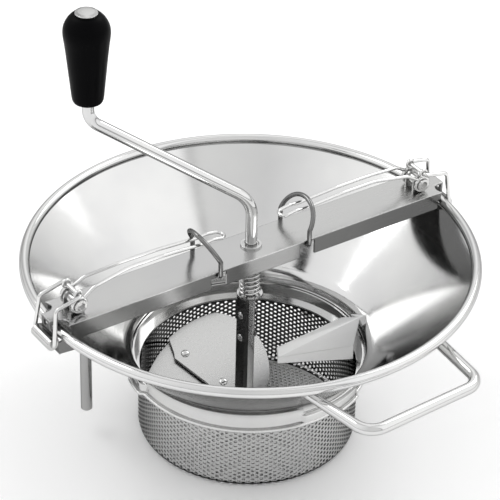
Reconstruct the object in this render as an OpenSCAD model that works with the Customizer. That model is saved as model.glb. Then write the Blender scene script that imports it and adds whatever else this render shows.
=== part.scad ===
// Crank-driven rotary food mill: funnel bowl, bayonet sieve, sprung rotor on a
// bent crank, and a crossbar held on the rim by two wire toggles.
// Origin: centre of the sieve's underside. +Z up, +X along the crossbar.

/* [Bowl] */
// Outside diameter over the rolled rim
bowl_d = 310; // [300:1:320]
// Height of the rim's centre above the sieve's underside
rim_z = 138; // [132:1:144]
// Diameter of the rolled rim
rim_bead_d = 7; // [6:0.5:7]
// Thickness of the bowl's sheet
bowl_t = 1.2; // [1:0.1:1.4]
// Inside diameter of the bowl's neck
neck_d = 160.4; // [160:0.2:161]
// Height of the neck's lower edge
neck_z = 52; // [51:0.5:53]
// Height of the corner between cone and neck
shoulder_z = 74; // [73:0.5:76]

/* [Sieve] */
// Outside diameter of the perforated drum
sieve_d = 152; // [151:0.5:152]
// Thickness of the perforated sheet
sieve_t = 1; // [0.8:0.1:1.2]
// Height at which the perforated wall meets its plain collar
sieve_wall_z = 50; // [49:0.5:50.5]
// Free turn of the bayonet
bayonet_turn = 20; // [15:1:22]

/* [Handle and legs] */
// Diameter of the handle's rod
handle_rod_d = 7.6; // [7:0.1:8]
// Distance from the axis to the handle's far bar
handle_reach = 184; // [178:1:190]
// Diameter of the leg rods
leg_rod_d = 8; // [7:0.5:8]
// Height of the legs' lower ends
leg_foot_z = 17; // [10:1:24]
// Distance of the legs from the axis
leg_r = 112; // [108:1:114]

/* [Crossbar] */
// Width of the crossbar
bar_w = 31; // [30:0.5:32]
// Height of the crossbar's top face above the rim's centre
bar_rise = 9; // [9:0.5:10]
// Depth of the crossbar's side flanges, with the top sheet
bar_depth = 12.5; // [12:0.5:13]
// Thickness of the crossbar's sheet
bar_t = 1.5; // [1.5:0.1:1.8]

/* [Crank] */
// Diameter of the crank's rod
crank_rod_d = 8; // [8:0.1:8]
// Horizontal reach of the crank's arm
crank_reach = 107.5; // [100:0.5:110]
// Height of the arm's lower corner above the rim's centre
crank_elbow_rise = 44.5; // [42:0.5:50]
// Height of the arm's upper corner above the rim's centre
crank_top_rise = 113.5; // [105:0.5:120]
// Direction of the crank's arm, from the crossbar's +X end
crank_azimuth = 155; // [0:5:355]
// Length of the grip with its cap
grip_len = 64.5; // [62:0.5:68]

/* [Toggles] */
// Diameter of the lever wires
lever_wire_d = 2.4; // [2:0.1:2.6]
// Diameter of the link wires
link_wire_d = 2.8; // [2.4:0.1:3]
// Diameter of the retaining bails' wire
bail_wire_d = 3.2; // [2.8:0.1:3.4]
// Diameter of the toggle rollers
roller_d = 8; // [7.6:0.1:8.2]

/* [Hidden] */
$fn = 48;

eps = 0.01;
far = 400;

rim_r = (bowl_d - rim_bead_d) / 2;
bead_r = rim_bead_d / 2;
hem_t = 0.9;
neck_r = neck_d / 2;
shoulder_r = neck_r + 5.3;
cone_top_r = rim_r - 2;
cone_top_z = rim_z - 2.6;
cone_slope = (cone_top_z - shoulder_z) / (cone_top_r - shoulder_r);
cone_nx = bowl_t * sin(atan(cone_slope));
cone_nz = bowl_t * cos(atan(cone_slope));

lug_angles = [30, 150, 270];
lug_z = 56;
lug_h = 3.4;
lug_span = 9;
collar_r = neck_r - 0.6;
collar_t = 1.2;
collar_top_z = 61.5;
pocket_r = neck_r + 2.6;
pocket_gap = 0.5;

sieve_r = sieve_d / 2;
sieve_corner_r = 6;

handle_azimuth = -87.2;
handle_z = rim_z - 12;
handle_half_root = 52;
handle_half_end = 45.4;
handle_bend_r = 13;
handle_root_y = 130;
leg_angles = [153, 33];

bar_top_z = rim_z + bar_rise;
bar_under_z = bar_top_z - bar_t;
bar_bottom_z = bar_top_z - bar_depth;
bar_end_x = 156.3;
tongue_w = 10.4;
flange_end_x = 148.4;
bush_r = 6;
bush_bottom_z = 139.5;
lip_t = 1.5;

shaft_r = crank_rod_d / 2;
running_gap = 0.08;
shaft_foot_z = sieve_t + 0.3;
elbow_z = rim_z + crank_elbow_rise;
shaft_top_z = elbow_z - 16;
arm_top_z = rim_z + crank_top_rise;
grip_z = rim_z + 128;
grip_body = grip_len - 1.5;
elbow_bend_r = 22;
wrist_bend_r = 14;

seat_z = 107;
seat_t = 1.5;
spring_turns = 9;
spring_wire_r = 0.8;

plate_tilt = 24.1;
plate_azimuth = 63.4;
plate_axis_z = 8.2;
plate_t = 1.4;
plate_step = 4.2;
sweep_r = sieve_r - sieve_t - 0.6;
rivet_spots = [[-15.4, 56.2], [-3.3, 25.2]];
rivet_r = 1.4;
post_rivet_z = [73, 91.5];
post_rivet_r = 1.45;

pivot_x = 137;
pivot_z = rim_z + 15.5;
pivot_pin_r = 3.8;
pivot_ear_r = 5.2;
pivot_eye_wall = 2.3;
eye_y = 7.5;
lever_r = lever_wire_d / 2;
link_r = link_wire_d / 2;
link_pin_x = 137.7;
link_pin_z = rim_z + 24;
link_corner_x = 155.8;
link_corner_z = rim_z + 19.8;
roller_x = 159;
roller_z = rim_z - 6;
roller_r = roller_d / 2;
roller_len = 21;
hairpin_y = 4;
wire_sides = 12;
bend_step = 12;

bail_x = 35.5;
bail_foot_z = bar_under_z - 1.9;
bail_r = bail_wire_d / 2;
bail_leg_y = bar_w / 2 + bail_r + 0.1;
bail_leg_h = 11.6;
bail_lean = 28;

// Unit vector along v
function unit(v) = v / norm(v);

// Points along the bend at corner b of the path a-b-c
function bend_points(a, b, c, bend_r) =
    let (
        u = unit(b - a),
        v = unit(c - b),
        turn = acos(u * v),
        start = b - u * bend_r * tan(turn / 2),
        across = unit(v - (v * u) * u),
        steps = max(2, ceil(turn / bend_step))
    )
    [for (k = [0 : steps])
        start + bend_r * (sin(turn * k / steps) * u + (1 - cos(turn * k / steps)) * across)];

// Path through corner points with a bend of its own radius at each inner corner
function bent_path(corners, bends) = [
    corners[0],
    for (i = [1 : len(corners) - 2])
        each bend_points(corners[i - 1], corners[i], corners[i + 1], bends[i - 1]),
    corners[len(corners) - 1]
];

// Direction of a path at point i
function path_direction(path, i) =
    i == 0 ? unit(path[1] - path[0]) :
    i == len(path) - 1 ? unit(path[i] - path[i - 1]) :
    unit(unit(path[i + 1] - path[i]) + unit(path[i] - path[i - 1]));

// The part of v that is square to direction d, at unit length
function squared(v, d) = unit(v - (v * d) * d);

// Round wire swept along a path; side is any vector that isn't along its start
module swept_wire(path, r, side) {
    last = len(path) - 1;
    across = [
        for (i = 0, n = squared(side, path_direction(path, 0)); i <= last;
            i = i + 1, n = i > last ? n : squared(n, path_direction(path, i))) n
    ];
    ring_r = 0.99 * r;
    points = [
        for (i = [0 : last], k = [0 : wire_sides - 1])
            path[i] + ring_r * (cos(360 * k / wire_sides) * across[i]
                + sin(360 * k / wire_sides) * cross(path_direction(path, i), across[i]))
    ];
    walls = [
        for (i = [0 : last - 1], k = [0 : wire_sides - 1])
            let (a = i * wire_sides + k, b = i * wire_sides + (k + 1) % wire_sides)
                each [[a, a + wire_sides, b], [b, a + wire_sides, b + wire_sides]]
    ];
    ends = [
        [for (k = [0 : wire_sides - 1]) k],
        [for (k = [wire_sides - 1 : -1 : 0]) last * wire_sides + k]
    ];
    polyhedron(points = points, faces = concat(walls, ends));
}

// Straight round pin along Y, centred on the XZ plane
module cross_pin(x, z, length, r) {
    translate([x, length / 2, z])
        rotate([90, 0, 0])
            cylinder(h = length, r = r);
}

// Ring of round wire about the Z axis
module wire_ring(ring_r, r) {
    rotate_extrude()
        translate([ring_r, 0])
            circle(r = r);
}

// Eye at the end of a lever wire, bored along Y
module eye(x, y, z, bore_r, wall, width) {
    translate([x, y + width / 2, z])
        rotate([90, 0, 0])
            difference() {
                cylinder(h = width, r = bore_r + wall);
                translate([0, 0, -1])
                    cylinder(h = width + 2, r = bore_r);
            }
}

// Ring segment about the Z axis, from r_in to r_out and z_low to z_high
module ring_segment(r_in, r_out, z_low, z_high, from, span) {
    rotate([0, 0, from])
        rotate_extrude(angle = span)
            translate([r_in, z_low])
                square([r_out - r_in, z_high - z_low]);
}

// Full ring about the Z axis
module ring(r_in, r_out, z_low, z_high) {
    rotate_extrude()
        translate([r_in, z_low])
            square([r_out - r_in, z_high - z_low]);
}

// Everything inside the bowl's outer surface, to cut rods flush with it
module bowl_core() {
    rotate_extrude()
        polygon([
            [0, neck_z], [neck_r + bowl_t, neck_z], [neck_r + bowl_t, neck_z + 12],
            [shoulder_r + cone_nx, shoulder_z - cone_nz],
            [cone_top_r + cone_nx, cone_top_z - cone_nz],
            [rim_r, rim_z + 20], [0, rim_z + 20]
        ]);
}

module bowl_profile() {
    polygon([
        [cone_top_r, cone_top_z],
        [shoulder_r, shoulder_z],
        [neck_r + 0.7, neck_z + 15],
        [neck_r, neck_z + 12],
        [neck_r, neck_z],
        [neck_r + bowl_t, neck_z],
        [neck_r + bowl_t, neck_z + 12],
        [neck_r + bowl_t + 0.6, neck_z + 14.6],
        [shoulder_r + cone_nx, shoulder_z - cone_nz],
        [cone_top_r + cone_nx, cone_top_z - cone_nz]
    ]);
    translate([neck_r + bowl_t + 0.7, neck_z + 1.4])
        circle(r = 1.4);
    translate([shoulder_r + cone_nx, shoulder_z - cone_nz])
        circle(r = 0.8);
}

module bowl_shell() {
    color("gainsboro")
    difference() {
        union() {
            rotate_extrude()
                bowl_profile();
            rotate_extrude()
                translate([rim_r, rim_z])
                    difference() {
                        circle(r = bead_r);
                        circle(r = bead_r - hem_t);
                    }
            for (a = lug_angles)
                ring_segment(neck_r + bowl_t - 0.2, pocket_r + 1.1, neck_z + 1, lug_z + lug_h + 1.7,
                    a - 8, bayonet_turn + 16);
        }
        for (a = lug_angles) {
            ring_segment(neck_r - 1, pocket_r, lug_z - pocket_gap, lug_z + lug_h + pocket_gap,
                a - 6.5, bayonet_turn + 13);
            ring_segment(neck_r - 1.2, pocket_r + 0.2, neck_z - 1, lug_z + lug_h + pocket_gap + 0.3,
                a + bayonet_turn - 6.2, 13);
        }
    }
}

module rim_wire() {
    color("silver")
        translate([0, 0, rim_z])
            wire_ring(rim_r, bead_r - hem_t - 0.1);
}

module handle_loop() {
    corners = [
        [-handle_half_root, -handle_root_y, 0], [-handle_half_end, -handle_reach, 0],
        [handle_half_end, -handle_reach, 0], [handle_half_root, -handle_root_y, 0]
    ];
    color("silver")
    difference() {
        rotate([0, 0, handle_azimuth + 90])
            translate([0, 0, handle_z])
                swept_wire(bent_path(corners, [handle_bend_r, handle_bend_r]), handle_rod_d / 2, [0, 0, 1]);
        bowl_core();
    }
}

module leg(angle) {
    chamfer = 1;
    color("silver")
    difference() {
        rotate([0, 0, angle])
            translate([leg_r, 0, leg_foot_z]) {
                cylinder(h = chamfer, r1 = leg_rod_d / 2 - chamfer, r2 = leg_rod_d / 2);
                translate([0, 0, chamfer])
                    cylinder(h = 90, d = leg_rod_d);
            }
        bowl_core();
    }
}

module leg_left() leg(leg_angles[0]);
module leg_right() leg(leg_angles[1]);

// Hooked plate under the rim that the toggle's roller pulls up against
module catch_plate() {
    saddle_r = roller_r + 0.3;
    saddle_t = 1.2;
    half_w = 9;
    color("silver")
    difference() {
        union() {
            translate([roller_x, half_w, roller_z])
                rotate([90, 0, 0])
                    linear_extrude(2 * half_w)
                        difference() {
                            circle(r = saddle_r + saddle_t);
                            circle(r = saddle_r);
                            polygon([
                                [0.6, 12], [0.6, 0], [0, 0], [-12, -4.4],
                                [-12, -12], [12, -12], [12, 12]
                            ]);
                        }
            translate([0, half_w, 0])
                rotate([90, 0, 0])
                    linear_extrude(2 * half_w)
                        polygon([
                            [roller_x - saddle_r - 1.2, roller_z - 0.6],
                            [roller_x - saddle_r - 0.1, roller_z - 1.8],
                            [153.2, 121.6], [151.9, 121.9]
                        ]);
            for (y = [-half_w, half_w - 1.2])
                translate([0, y + 1.2, 0])
                    rotate([90, 0, 0])
                        linear_extrude(1.2)
                            polygon([[153.4, 130.9], [147, 132.4], [138, 124], [138, 120.8], [152.5, 121.9]]);
        }
        bowl_core();
        translate([0, 0, rim_z])
            wire_ring(rim_r, bead_r + 0.2);
    }
}

module catch_right() catch_plate();
module catch_left() mirror([1, 0, 0]) catch_plate();

// Fixed fin in the neck that turns food down under the rotor
module deflector() {
    fin_r = 0.7;
    tip_low = [14, -16.4, 58.5];
    tip_high = [16.5, -11.5, 62];
    root_low = [65.4, -32.6, 58.5];
    root_high = [76, -24.2, 73];
    mid_high = [65.6, -18, 72.6];
    wall_low = [77.2, -29, 67.2];
    color("gainsboro") {
        hull()
            for (p = [tip_low, tip_high, root_low, root_high, mid_high])
                translate(p)
                    sphere(r = fin_r, $fn = 16);
        hull()
            for (p = [tip_low, root_low, tip_low - [0, 0, 4.5], root_low - [0, 0, 11]])
                translate(p)
                    sphere(r = fin_r, $fn = 16);
        hull()
            for (p = [root_high, mid_high + [8, -1, 0.3], [80.9, -24.8, 73.2], wall_low, [79.4, -19.6, 71]])
                translate(p)
                    sphere(r = fin_r, $fn = 16);
    }
}

// Plan of the crossbar's top sheet, with both ends drawn in to a tongue
module bar_plan() {
    scoop_r = 6;
    difference() {
        translate([-bar_end_x, -bar_w / 2])
            square([2 * bar_end_x, bar_w]);
        for (sx = [-1, 1], sy = [-1, 1])
            translate([sx * (bar_end_x - 2.6), sy * (tongue_w / 2 + scoop_r)])
                circle(r = scoop_r);
        for (sx = [-1, 1], sy = [-1, 1])
            translate([sx * (bar_end_x + 0.4) - 3, sy * (tongue_w / 2 + 8) - 8])
                square([6, 16]);
    }
}

module crossbar() {
    notch_w = 12;
    ear_t = 1.5;
    color("lightgray")
    difference() {
        union() {
            translate([0, 0, bar_under_z])
                linear_extrude(bar_t)
                    bar_plan();
            for (y = [-bar_w / 2, bar_w / 2 - bar_t])
                translate([-flange_end_x, y, bar_bottom_z])
                    cube([2 * flange_end_x, bar_t, bar_under_z - bar_bottom_z + eps]);
            // lips over the rim
            for (sx = [-1, 1])
                translate([sx * (bar_end_x + lip_t / 2 - eps) - lip_t / 2, -tongue_w / 2, rim_z + 1])
                    cube([lip_t, tongue_w, bar_rise - 1]);
            // ears for the lever pins
            for (sx = [-1, 1], y = [-4.2 - ear_t / 2, 4.2 - ear_t / 2])
                translate([sx * pivot_x, y + ear_t, bar_top_z - eps])
                    rotate([90, 0, 0])
                        linear_extrude(ear_t) {
                            translate([-pivot_ear_r, 0])
                                square([2 * pivot_ear_r, pivot_z - bar_top_z]);
                            translate([0, pivot_z - bar_top_z])
                                circle(r = pivot_ear_r);
                        }
            // hanging ears for the bails' feet
            for (sx = [-1, 1], sy = [-1, 1])
                translate([sx * bail_x - 4.5, sy * 11.5 - 0.75, bail_foot_z - 3.4])
                    cube([9, 1.5, bar_under_z - bail_foot_z + 3.4 + eps]);
        }
        // clearance over the rolled rim
        ring(rim_r - bead_r - 1.2, rim_r + bead_r + 0.4, bar_bottom_z - 1, rim_z + bead_r + 0.05);
        // notches at the bails
        for (sx = [-1, 1], sy = [-1, 1])
            translate([sx * bail_x - notch_w / 2, sy * (bar_w / 2 - bar_t / 2) - bar_t, bar_bottom_z - 1])
                cube([notch_w, 2 * bar_t, bar_under_z - bar_bottom_z + 1]);
        for (sx = [-1, 1])
            translate([sx * bail_x, 20, bail_foot_z])
                rotate([90, 0, 0])
                    cylinder(h = 40, r = bail_r + running_gap);
        for (sx = [-1, 1])
            translate([sx * pivot_x, 8, pivot_z])
                rotate([90, 0, 0])
                    cylinder(h = 16, r = pivot_pin_r);
        // slots in the lips
        for (sx = [-1, 1])
            translate([sx * bar_end_x - 3, -2.6, rim_z + 2.6])
                cube([6, 5.2, 4.2]);
        translate([0, 0, bar_under_z - 1])
            cylinder(h = bar_t + 2, r = bush_r);
    }
}

module shaft_bush() {
    color("darkgray")
    difference() {
        union() {
            translate([0, 0, bush_bottom_z])
                cylinder(h = bar_top_z - bush_bottom_z, r = bush_r);
            translate([0, 0, bar_top_z])
                cylinder(h = 1.4, r = bush_r + 1.2);
        }
        translate([0, 0, bush_bottom_z - 1])
            cylinder(h = 20, r = shaft_r + running_gap);
        translate([0, 0, bar_top_z])
            cylinder(h = 3, r = 5.5);
    }
}

module lever_pin(side) {
    head_t = 1;
    hollow_r = 2.7;
    color("silver")
        translate([side * pivot_x, 0, pivot_z])
            rotate([90, 0, 0])
                difference() {
                    union() {
                        cylinder(h = 18, r = pivot_pin_r, center = true);
                        for (z = [-9 - head_t, 9])
                            translate([0, 0, z])
                                cylinder(h = head_t, r = pivot_pin_r + 0.7);
                    }
                    for (z = [-9.6, 9.6])
                        translate([0, 0, z])
                            cylinder(h = 3, r = hollow_r, center = true);
                }
}

module lever_pin_left() lever_pin(-1);
module lever_pin_right() lever_pin(1);

module sieve_collar() {
    color("gainsboro")
    union() {
        ring(collar_r - collar_t, collar_r, sieve_wall_z, collar_top_z);
        ring(sieve_r - sieve_t, collar_r, sieve_wall_z, sieve_wall_z + 1.2);
        for (a = lug_angles)
            ring_segment(collar_r - 0.3, pocket_r - 0.5, lug_z, lug_z + lug_h, a - lug_span / 2, lug_span);
    }
}

module sieve_drum() {
    color("silver")
    rotate_extrude()
        difference() {
            union() {
                square([sieve_r - sieve_corner_r, sieve_wall_z]);
                translate([0, sieve_corner_r])
                    square([sieve_r, sieve_wall_z - sieve_corner_r]);
                translate([sieve_r - sieve_corner_r, sieve_corner_r])
                    circle(r = sieve_corner_r);
            }
            translate([-1, sieve_corner_r])
                square([sieve_r - sieve_t + 1, sieve_wall_z]);
            translate([-1, sieve_t])
                square([sieve_r - sieve_corner_r + 1, sieve_wall_z]);
            translate([sieve_r - sieve_corner_r, sieve_corner_r])
                circle(r = sieve_corner_r - sieve_t);
            translate([-far, -1])
                square([far, far]);
        }
}

// Closed turns of the spring, one ring per turn
module spring() {
    low = seat_z + seat_t + spring_wire_r;
    high = bush_bottom_z - spring_wire_r;
    color("silver")
        for (i = [0 : spring_turns - 1])
            translate([0, 0, low + (high - low) * i / (spring_turns - 1)])
                wire_ring(6.9 - 0.7 * i / (spring_turns - 1), spring_wire_r);
}

module spring_seat() {
    color("silver")
    difference() {
        translate([0, 0, seat_z])
            cylinder(h = seat_t, r = 8.8);
        translate([0, 0, seat_z - 1])
            cylinder(h = seat_t + 2, r = shaft_r + running_gap);
    }
}

// Bores for the rivets that hold the flat bar to the shaft
module post_bores() {
    for (z = post_rivet_z)
        translate([-10, 0, z])
            rotate([0, 90, 0])
                cylinder(h = 20, r = post_rivet_r + 0.05);
}

module crank_rod() {
    tip = 1.6;
    corners = [
        [0, 0, shaft_top_z - 1], [0, 0, elbow_z], [crank_reach, 0, arm_top_z], [crank_reach, 0, grip_z - 2]
    ];
    color("silver")
    difference() {
        rotate([0, 0, crank_azimuth])
            union() {
                translate([0, 0, shaft_foot_z])
                    cylinder(h = tip, r1 = shaft_r - tip, r2 = shaft_r);
                translate([0, 0, shaft_foot_z + tip])
                    cylinder(h = shaft_top_z - shaft_foot_z - tip, r = shaft_r);
                swept_wire(bent_path(corners, [elbow_bend_r, wrist_bend_r]), shaft_r, [0, 1, 0]);
                translate([crank_reach, 0, grip_z - 3])
                    cylinder(h = grip_len - 8, r = shaft_r);
            }
        post_bores();
    }
}

// Half-space under the tilted plane through the axis at height z
module under_plane(z) {
    translate([0, 0, z])
        rotate([0, 0, plate_azimuth])
            rotate([0, -plate_tilt, 0])
                translate([-far / 2, -far / 2, -far])
                    cube([far, far, far]);
}

// Sheet of the rotor: a plan outline cut out of the tilted plane
module tilted_sheet(z, t) {
    intersection() {
        difference() {
            under_plane(z);
            under_plane(z - t / cos(plate_tilt));
        }
        translate([0, 0, shaft_foot_z])
            linear_extrude(60)
                children();
    }
}

// Places its children at each of the sheets' rivets, with Z square to the sheets
module at_rivets() {
    for (p = rivet_spots) {
        rise = tan(plate_tilt) * (p.x * cos(plate_azimuth) + p.y * sin(plate_azimuth));
        translate([p.x, p.y, plate_axis_z + rise])
            rotate([0, 0, plate_azimuth])
                rotate([0, -plate_tilt, 0])
                    children();
    }
}

// Sheet of the rotor with its holes for the shaft and the rivets
module bored_sheet(z) {
    difference() {
        tilted_sheet(z, plate_t)
            difference() {
                children();
                circle(r = shaft_r + 0.6);
            }
        at_rivets()
            cylinder(h = 16, r = rivet_r + 0.06, center = true);
    }
}

module blade_main() {
    color("gainsboro")
        bored_sheet(plate_axis_z)
            difference() {
                union() {
                    intersection() {
                        circle(r = sweep_r);
                        translate([-4.7, 38.5])
                            circle(r = 41.2);
                    }
                    translate([2, 2])
                        circle(r = 12);
                }
                polygon([
                    [-5.5, 3.5], [-13.9, 31.4], [-23.6, 57], [-22, 60.5],
                    [-17.5, 80], [-60, 80], [-60, 3.5]
                ]);
            }
}

module blade_presser() {
    contact = 2.6;
    corner_lift = 5;
    color("gainsboro")
        bored_sheet(plate_axis_z - plate_step)
            difference() {
                intersection() {
                    circle(r = sweep_r);
                    rotate([0, 0, plate_azimuth])
                        translate([-contact, -10])
                            square([far, far]);
                    union() {
                        circle(r = sieve_r - sieve_corner_r);
                        rotate([0, 0, plate_azimuth])
                            translate([corner_lift, -far / 2])
                                square([far, far]);
                    }
                }
                polygon([[12, -40], [12, 3.5], [2, 30.8], [-10, 80], [100, 80], [100, -40]]);
            }
}

// Rivet with domed heads at both ends, shank along Z from 0 to h
module rivet(h, shank_r, head_r) {
    dome = 1.1;
    rotate_extrude()
        polygon([
            [0, -dome],
            for (a = [15 : 15 : 90]) [head_r * sin(a), -dome * cos(a)],
            [shank_r, 0], [shank_r, h],
            for (a = [90 : -15 : 15]) [head_r * sin(a), h + dome * cos(a)],
            [0, h + dome]
        ]);
}

module blade_rivets() {
    stack = plate_step * cos(plate_tilt) + plate_t;
    color("silver")
        at_rivets()
            translate([0, 0, -stack])
                rivet(stack, rivet_r, 3);
}

// Flat bar beside the shaft that carries the rotor's sheets
module blade_post() {
    color("darkgray")
    difference() {
        translate([-shaft_r - 3, -5, shaft_foot_z])
            cube([2.9, 10, seat_z - shaft_foot_z]);
        under_plane(plate_axis_z);
        post_bores();
    }
}

module post_rivets() {
    color("silver")
        for (z = post_rivet_z)
            translate([-shaft_r - 3, 0, z])
                rotate([0, 90, 0])
                    rivet(2 * shaft_r + 3.2, post_rivet_r, 2.8);
}

module grip_outline() {
    polygon([
        [0, 0], [8.6, 0], [9.8, 0.6], [10.3, 2.2], [10.8, 6.5], [11.6, 15], [12.5, 24],
        [13.4, 33], [14.3, 41], [15, 46], [15.25, 49.4], [15, 52.5], [14.2, 55.2],
        [12.6, 58.2], [10.4, 60.8], [8.2, 62.3], [7.8, grip_body], [0, grip_body]
    ]);
}

module grip() {
    color("black")
    rotate([0, 0, crank_azimuth])
        translate([crank_reach, 0, grip_z])
            difference() {
                rotate_extrude()
                    grip_outline();
                translate([0, 0, -1])
                    cylinder(h = grip_len - 6, r = shaft_r + running_gap);
            }
}

module grip_cap() {
    color("silver")
    rotate([0, 0, crank_azimuth])
        translate([crank_reach, 0, grip_z + grip_body])
            rotate_extrude()
                polygon([[0, 0], [7.5, 0], [7.3, 0.5], [5.4, 1.1], [2.8, 1.4], [0, 1.5]]);
}

// Corner points of one side of the lever's wire, from its eye to its tip
lever_corners = [
    [pivot_x, eye_y, pivot_z + 5.1], [125, 6.4, rim_z + 25.2], [98, hairpin_y, rim_z + 28.5],
    [72, hairpin_y, rim_z + 28.3], [40, hairpin_y, rim_z + 26.4], [33, hairpin_y, rim_z + 27.2],
    [22.8, hairpin_y, rim_z + 25.6]
];

// Hairpin of two wires with an eye for the pivot and an eye for the link at each side
module lever() {
    count = len(lever_corners);
    corners = [
        for (p = lever_corners) p,
        for (i = [count - 1 : -1 : 0]) [lever_corners[i].x, -lever_corners[i].y, lever_corners[i].z]
    ];
    bends = [14, 30, 60, 10, 8, hairpin_y - 0.1, hairpin_y - 0.1, 8, 10, 60, 30, 14];
    color("silver")
    union() {
        swept_wire(bent_path(corners, bends), lever_r, [0, 1, 0]);
        for (side = [-1, 1]) {
            eye(pivot_x, side * eye_y, pivot_z, pivot_pin_r + 0.1, pivot_eye_wall, lever_wire_d);
            eye(link_pin_x, side * eye_y, link_pin_z, link_r + 0.1, 2, 2);
        }
    }
}

module lever_right() lever();
module lever_left() mirror([1, 0, 0]) lever();

// Stirrup that carries the roller, with its top bar through the lever's eyes
module link() {
    pin_half = eye_y + 1.3;
    axle_half = roller_len / 2 + 0.3;
    bend = 1.6;
    path = bent_path([
        [link_pin_x, pin_half - 1, link_pin_z], [link_pin_x, pin_half + bend + 0.1, link_pin_z],
        [link_corner_x, pin_half + bend + 0.1, link_corner_z],
        [roller_x, axle_half + bend + 0.1, roller_z], [roller_x, axle_half - 1, roller_z]
    ], [bend, 3, bend]);
    color("silver")
    union() {
        cross_pin(link_pin_x, link_pin_z, 2 * pin_half, link_r);
        cross_pin(roller_x, roller_z, 2 * axle_half, link_r);
        for (side = [-1, 1])
            swept_wire([for (p = path) [p.x, side * p.y, p.z]], link_r, [1, 0.3, 1]);
    }
}

module link_right() link();
module link_left() mirror([1, 0, 0]) link();

module roller(side) {
    color("gainsboro")
        translate([side * roller_x, roller_len / 2, roller_z])
            rotate([90, 0, 0])
                difference() {
                    cylinder(h = roller_len, r = roller_r);
                    translate([0, 0, -1])
                        cylinder(h = roller_len + 2, r = link_r + running_gap);
                }
}

module roller_right() roller(1);
module roller_left() roller(-1);

// Arched wire that swings over the lever's tip and holds it down
module bail() {
    pin_in = 9.6;
    pin_out = 13.4;
    leg_top = bail_foot_z + bail_leg_h;
    arch = [
        for (a = [-75 : 15 : 75]) [
            bail_x + bail_leg_y * cos(a) * sin(bail_lean),
            bail_leg_y * sin(a),
            leg_top + bail_leg_y * cos(a) * cos(bail_lean)
        ]
    ];
    corners = [
        [bail_x, 1 - pin_out, bail_foot_z], [bail_x, -bail_leg_y, bail_foot_z],
        [bail_x, -bail_leg_y, leg_top]
    ];
    turned = bend_points(corners[0], corners[1], corners[2], 1.8);
    path = [
        corners[0], each turned, corners[2], each arch,
        for (i = [len(turned) : -1 : 0])
            let (p = i == len(turned) ? corners[2] : turned[i]) [p.x, -p.y, p.z],
        [bail_x, pin_out - 1, bail_foot_z]
    ];
    color("dimgray")
    union() {
        swept_wire(path, bail_r, [1, 0, 0]);
        for (side = [-1, 1])
            translate([bail_x, side * (pin_out + pin_in) / 2, bail_foot_z])
                cross_pin(0, 0, pin_out - pin_in, bail_r);
    }
}

module bail_right() bail();
module bail_left() mirror([1, 0, 0]) bail();

bowl_shell();
rim_wire();
handle_loop();
leg_left();
leg_right();
catch_left();
catch_right();
deflector();
crossbar();
shaft_bush();
lever_pin_left();
lever_pin_right();
sieve_collar();
sieve_drum();
spring();
spring_seat();
crank_rod();
blade_post();
post_rivets();
blade_main();
blade_presser();
blade_rivets();
grip();
grip_cap();
lever_left();
lever_right();
link_left();
link_right();
roller_left();
roller_right();
bail_left();
bail_right();
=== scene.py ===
"""Looks of a crank-driven rotary food mill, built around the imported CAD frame.

Spun sheet is lathed, rods and wires are swept along bent paths, the sieve has real holes and
the spring is one helix. Lengths are in millimetres in the code and become metres in the meshes.
"""

import math

import bpy
from mathutils import Matrix, Vector
from mathutils.geometry import delaunay_2d_cdt


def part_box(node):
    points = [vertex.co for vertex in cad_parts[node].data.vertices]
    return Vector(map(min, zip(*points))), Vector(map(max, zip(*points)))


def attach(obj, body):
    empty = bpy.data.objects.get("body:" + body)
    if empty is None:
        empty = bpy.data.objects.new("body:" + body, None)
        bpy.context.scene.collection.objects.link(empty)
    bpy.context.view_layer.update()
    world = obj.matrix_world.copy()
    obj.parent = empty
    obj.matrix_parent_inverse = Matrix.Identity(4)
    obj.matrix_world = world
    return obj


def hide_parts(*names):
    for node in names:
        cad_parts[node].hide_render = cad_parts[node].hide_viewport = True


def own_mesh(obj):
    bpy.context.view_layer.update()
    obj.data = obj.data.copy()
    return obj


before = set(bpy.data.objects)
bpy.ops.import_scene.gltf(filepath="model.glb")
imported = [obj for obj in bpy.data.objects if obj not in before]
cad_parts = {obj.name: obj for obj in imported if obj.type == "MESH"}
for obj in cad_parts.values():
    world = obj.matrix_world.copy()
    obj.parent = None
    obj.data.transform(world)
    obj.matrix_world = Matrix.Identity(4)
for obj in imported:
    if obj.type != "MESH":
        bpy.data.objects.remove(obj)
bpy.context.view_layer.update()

MM = 0.001


# ---------------------------------------------------------------- sizes from the frame

def corners_mm(node):
    """Lowest and highest corner of a CAD node at rest, in millimetres."""
    low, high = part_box(node)
    return Vector(low) / MM, Vector(high) / MM


bowl_low, bowl_high = corners_mm("bowl_shell")
BEAD_R = 3.5
RIM_R = (bowl_high.x - bowl_low.x) / 2 - BEAD_R
RIM_Z = bowl_high.z - BEAD_R
NECK_Z = 52
NECK_R = 80.2
NECK_TOP_Z = NECK_Z + 12
SHEET_T = 1.2
# where the funnel's inner face starts, its unit direction, and its rise over run
SHOULDER_R, SHOULDER_Z = 85.5, 74
CONE_OUT, CONE_UP = 0.7216, 0.692
CONE_SLOPE = 0.959

drum_high = corners_mm("sieve_drum")[1]
DRUM_R = drum_high.x
DRUM_TOP = drum_high.z
DRUM_CORNER = 6
DRUM_T = 1
BAR_TOP_Z = RIM_Z + 9
FIN_FOLD_Z = 58.9


# ---------------------------------------------------------------- mesh helpers

def new_object(name, verts, faces, smooth_angle=35):
    """A mesh object from points in millimetres, smooth except at edges sharper than the angle."""
    mesh = bpy.data.meshes.new(name)
    mesh.from_pydata([Vector(v) * MM for v in verts], [], faces)
    mesh.validate()
    mesh.update()
    mesh.shade_smooth()
    mesh.set_sharp_from_angle(angle=math.radians(smooth_angle))
    obj = bpy.data.objects.new(name, mesh)
    bpy.context.scene.collection.objects.link(obj)
    return obj


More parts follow.
